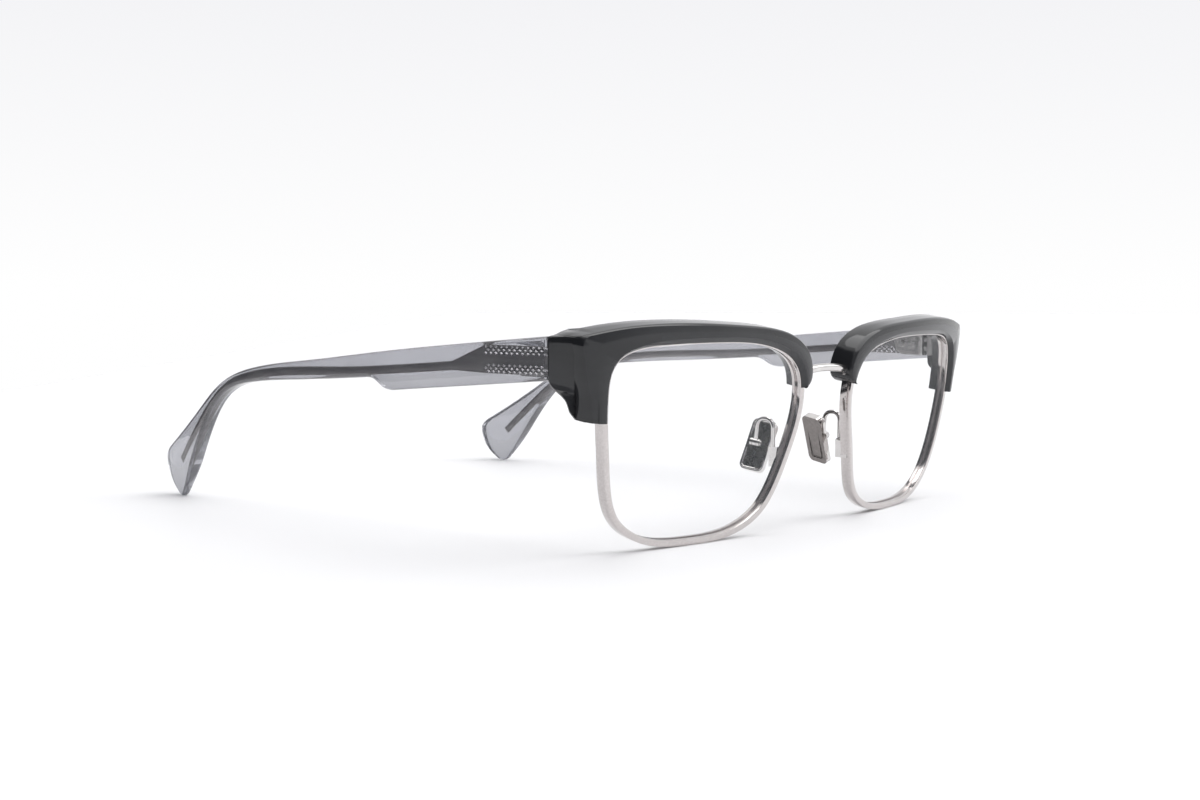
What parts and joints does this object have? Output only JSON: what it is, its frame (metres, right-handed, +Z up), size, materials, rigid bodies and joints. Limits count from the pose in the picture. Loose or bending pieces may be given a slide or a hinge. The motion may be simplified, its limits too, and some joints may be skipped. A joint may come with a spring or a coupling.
{
  "type": "browline eyeglasses",
  "caption": "Half rim browline eyeglasses with acetate brows over metal rims, clear lenses, rocking metal nose pads and folding temples with metal cores.",
  "frame": {"origin": "middle of the footprint on the table, temples open", "axes": "+Y from the front towards the temple tips, +X the wearer's left, +Z up"},
  "size_m": [0.1424, 0.152, 0.0435],
  "materials": {
    "brow_acetate": "polished dark grey acetate",
    "temple_acetate": "polished translucent grey acetate",
    "rim_metal": "polished pale metal",
    "pad_metal": "satin metal",
    "hinge_metal": "satin pale metal",
    "core_metal": "satin warm grey metal",
    "screw_steel": "bright steel",
    "lens_clear": "clear coated lens"
  },
  "bodies": {
    "front": {"bridge": "rim_metal", "brow_left": "brow_acetate", "brow_right": "brow_acetate", "rim_left": "rim_metal", "rim_right": "rim_metal", "lens_left": "lens_clear", "lens_right": "lens_clear", "rim_lock_left": "rim_metal", "rim_lock_right": "rim_metal", "rim_lock_screw_left": "screw_steel", "rim_lock_screw_right": "screw_steel", "rim_lugs_left": "rim_metal", "rim_lugs_right": "rim_metal", "brow_screws_left": "screw_steel", "brow_screws_right": "screw_steel", "pad_arm_left": "rim_metal", "pad_arm_right": "rim_metal", "hinge_front_left": "hinge_metal", "hinge_front_right": "hinge_metal", "hinge_screw_left": "screw_steel", "hinge_screw_right": "screw_steel"},
    "nose_pad_body_left": {"nose_pad_left": "pad_metal", "pad_screw_left": "screw_steel"},
    "temple_body_left": {"temple_left": "temple_acetate", "temple_core_left": "core_metal", "hinge_temple_left": "hinge_metal", "hinge_rivets_left": "screw_steel"},
    "nose_pad_body_right": {"nose_pad_right": "pad_metal", "pad_screw_right": "screw_steel"},
    "temple_body_right": {"temple_right": "temple_acetate", "temple_core_right": "core_metal", "hinge_temple_right": "hinge_metal", "hinge_rivets_right": "screw_steel"}
  },
  "joints": [
    {"name": "temple_fold_left", "type": "hinge", "parent": "front", "child": "temple_body_left", "pos_m": [0.0656, -0.05844, 0.03591], "axis": [0, 0, 1], "range_deg": [0, 85]},
    {"name": "nose_pad_rock_left", "type": "hinge", "parent": "front", "child": "nose_pad_body_left", "pos_m": [0.01268, -0.06471, 0.01799], "axis": [0.1647, 0.9739, 0.1564], "range_deg": [-8, 8]},
    {"name": "temple_fold_right", "type": "hinge", "parent": "front", "child": "temple_body_right", "pos_m": [-0.0656, -0.05844, 0.03591], "axis": [0, 0, -1], "range_deg": [0, 79]},
    {"name": "nose_pad_rock_right", "type": "hinge", "parent": "front", "child": "nose_pad_body_right", "pos_m": [-0.01268, -0.06471, 0.01799], "axis": [-0.1647, 0.9739, 0.1564], "range_deg": [-8, 8]}
  ]
}
